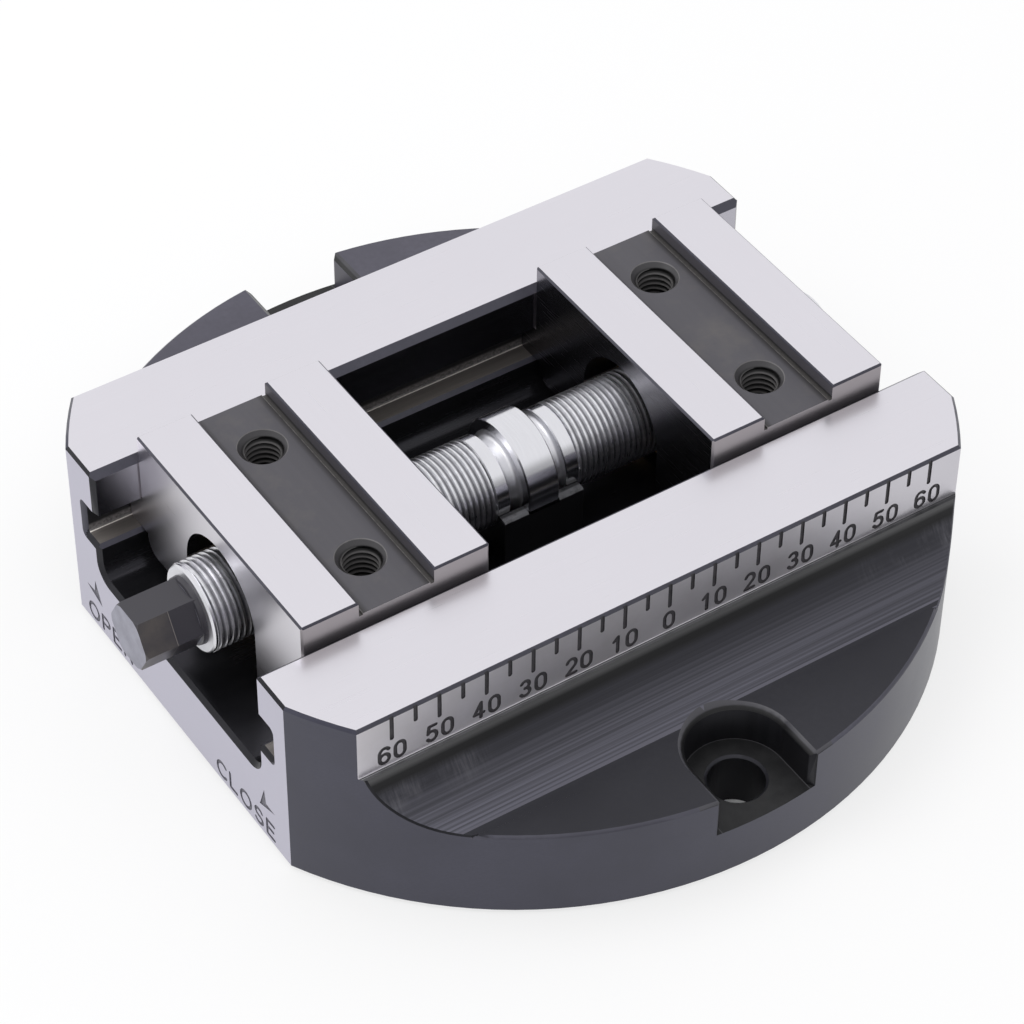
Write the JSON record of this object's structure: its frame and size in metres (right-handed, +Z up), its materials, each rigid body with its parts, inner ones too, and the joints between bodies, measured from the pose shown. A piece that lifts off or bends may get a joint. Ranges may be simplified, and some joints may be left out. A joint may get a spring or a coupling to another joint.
{
  "type": "self-centering vise",
  "caption": "Low round-based self-centering vise: a left and right hand spindle moves two slotted carriages in a guide between graduated rails.",
  "frame": {"origin": "centre of the body's underside", "axes": "+X along the spindle, away from its hexagon; -Y towards the numbered scale face; +Z up"},
  "size_m": [0.1595, 0.17, 0.049],
  "materials": {
    "oxide_steel": "black oxide, ground on the rail tops, scale faces and ends",
    "ground_steel": "ground, black oxide in the key slot and on the inner end",
    "spindle_steel": "turned bright, hexagon black oxide",
    "nut_bronze": "turned",
    "screw_steel": "black oxide",
    "pin_steel": "ground"
  },
  "bodies": {
    "base": {"vise_body": "oxide_steel", "centre_bearing": "oxide_steel", "bearing_screws": "screw_steel", "bearing_dowels": "pin_steel"},
    "spindle": {"spindle": "spindle_steel"},
    "left_slide": {"left_carriage": "ground_steel", "left_nut": "nut_bronze", "left_nut_pins": "pin_steel"},
    "right_slide": {"right_carriage": "ground_steel", "right_nut": "nut_bronze", "right_nut_pins": "pin_steel"}
  },
  "joints": [
    {"name": "spindle_turn", "type": "hinge", "parent": "base", "child": "spindle", "pos_m": [0, 0, 0.032], "axis": [1, 0, 0], "range_deg": [-2880, 4320]},
    {"name": "left_travel", "type": "slide", "parent": "base", "child": "left_slide", "axis": [1, 0, 0], "range_m": [-0.01, 0.015]},
    {"name": "right_travel", "type": "slide", "parent": "base", "child": "right_slide", "axis": [-1, 0, 0], "range_m": [-0.01, 0.015]}
  ],
  "couplings": [
    {"joint": "spindle_turn", "follows": "left_travel", "rad_per_m": 5026.5},
    {"joint": "right_travel", "follows": "left_travel", "ratio": 1}
  ]
}
